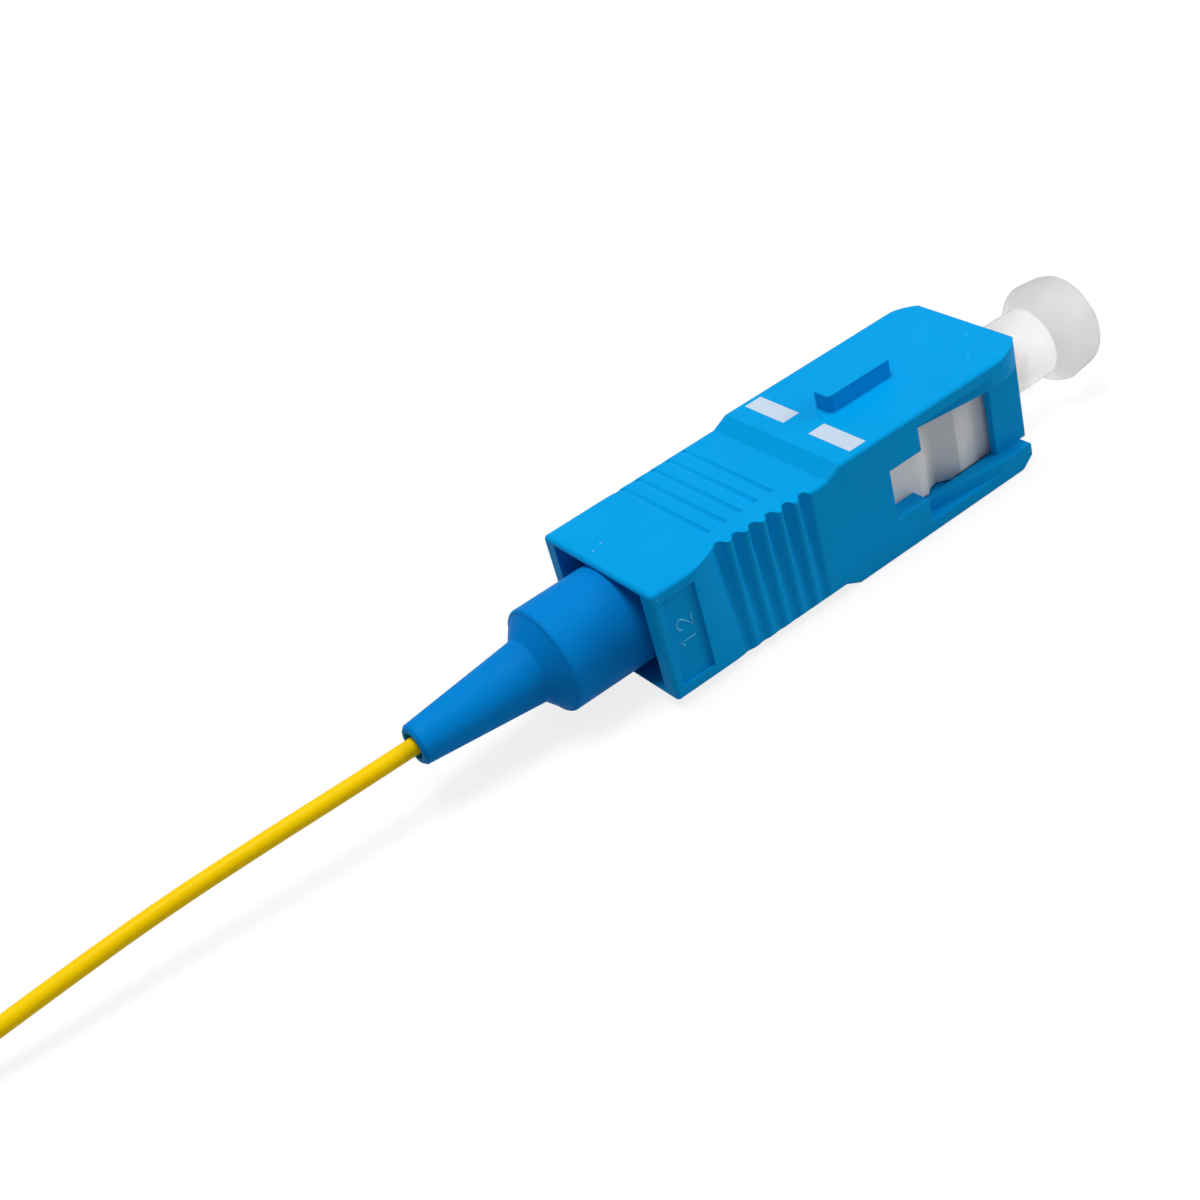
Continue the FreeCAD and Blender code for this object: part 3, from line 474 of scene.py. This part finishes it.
def add_panel_number():
    """A plain raised number in the sunk panel at the rear of the right side. Its lighter
    blue than the housing is a painted highlight on the strokes.
    """
    strokes = [[digit_place(*point) for point in stroke] for stroke in (ONE, TWO)]
    curve = round_lines("panel_number", DIGIT_RADIUS * MM, 2, "POLY", strokes)
    piece = add_object("panel_number", curve)
    piece.location = (HOUSING_LOW.x, PANEL_Y * MM, AXIS_Z)
    # The digits' lighter blue is a painted highlight on the raised strokes; the real digits
    # are the housing's own blue.
    paint(piece, plastic("number_painted_highlight", (0.06, 0.54, 0.92), (0.09, 0.58, 0.95), 0.4,
                         edge=0))
    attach(piece, "housing")


# ------------------------------------------------------------ floor, world and lamps

# The floor's half side, the distances from the origin between which its look turns to
# plain white, both in metres, and how much of it is plain white there.
FLOOR_HALF = 0.6
FLOOR_NEAR, FLOOR_FAR = 0.1, 0.3
WHITE_NEAR, WHITE_FAR = 0.8, 1.0

# Each lamp's place and side in metres, and its power in watts.
LAMPS = {
    "key": ((-0.03, 0.02, 0.48), 0.22, 1.72),
    "fill": ((0.42, -0.19, 0.22), 0.25, 0.84),
}


def seen_directly(tree):
    """1 for what the camera sees, straight or by way of metal and glass, and else 0."""
    rays = tree.nodes.new("ShaderNodeLightPath")
    total = rays.outputs["Is Camera Ray"]
    for kind in ("Is Glossy Ray", "Is Transmission Ray"):
        total = combine(tree, "MAXIMUM", total, rays.outputs[kind])
    return total


def whiteness_by_distance(tree):
    """How plain white the floor looks: less by the object, where its shadow falls."""
    place = tree.nodes.new("ShaderNodeNewGeometry")
    far = tree.nodes.new("ShaderNodeVectorMath")
    far.operation = "LENGTH"
    tree.links.new(place.outputs["Position"], far.inputs[0])
    return spread(tree, far.outputs["Value"], WHITE_NEAR, WHITE_FAR, FLOOR_NEAR, FLOOR_FAR)


def floor_paper():
    """Grey paper as the object is lit by it, and white paper as the camera sees it."""
    material, tree, shader = new_material("floor_paper")
    shader.inputs["Base Color"].default_value = (0.46, 0.46, 0.46, 1)
    shader.inputs["Roughness"].default_value = 0.9
    shader.inputs["Specular IOR Level"].default_value = 0.0
    paper = tree.nodes.new("ShaderNodeBsdfDiffuse")
    paper.inputs["Color"].default_value = (0.98, 0.98, 0.98, 1)
    glow = tree.nodes.new("ShaderNodeEmission")
    glow.inputs["Strength"].default_value = 1.03
    look = blend(tree, whiteness_by_distance(tree), paper.outputs["BSDF"],
                 glow.outputs["Emission"])
    surface = blend(tree, seen_directly(tree), shader.outputs["BSDF"], look)
    tree.links.new(surface, tree.nodes["Material Output"].inputs["Surface"])
    return material


def add_floor():
    """A square sheet of paper under the object."""
    mesh = bpy.data.meshes.new("floor")
    corners = [(x * FLOOR_HALF, y * FLOOR_HALF, 0)
               for x, y in ((-1, -1), (1, -1), (1, 1), (-1, 1))]
    mesh.from_pydata(corners, [], [(0, 1, 2, 3)])
    floor = add_object("floor", mesh)
    paint(floor, floor_paper())


def add_world():
    """Soft light from all round, and plain white as the camera sees it."""
    world = bpy.data.worlds.new("studio")
    bpy.context.scene.world = world
    world.use_nodes = True
    tree = world.node_tree
    sky = tree.nodes["Background"]
    sky.inputs["Color"].default_value = (1, 1, 1, 1)
    sky.inputs["Strength"].default_value = 0.19
    white = tree.nodes.new("ShaderNodeBackground")
    white.inputs["Color"].default_value = (1, 1, 1, 1)
    white.inputs["Strength"].default_value = 1.0
    surface = blend(tree, seen_directly(tree), sky.outputs["Background"],
                    white.outputs["Background"])
    tree.links.new(surface, tree.nodes["World Output"].inputs["Surface"])


def add_lamps():
    """Square soft lamps, each aimed at the object."""
    for name, (spot, side, power) in LAMPS.items():
        data = bpy.data.lights.new(name, "AREA")
        data.shape = "SQUARE"
        data.size = side
        data.energy = power
        lamp = add_object(name, data)
        lamp.location = spot
        aim = -Vector(spot).normalized()
        lamp.rotation_euler = aim.to_track_quat("-Z", "Y").to_euler()


add_camera()
bpy.context.scene.view_settings.view_transform = "Standard"
fibre_yellow = plastic("buffer_plastic", (1.0, 0.65, 0.0), (1.0, 0.68, 0.0), 0.35,
                       grain=0.08, edge=0, specular=0.05)
dress_nodes(fibre_yellow)
add_fibre(fibre_yellow)
add_spring()
add_panel_number()
add_floor()
add_world()
add_lamps()
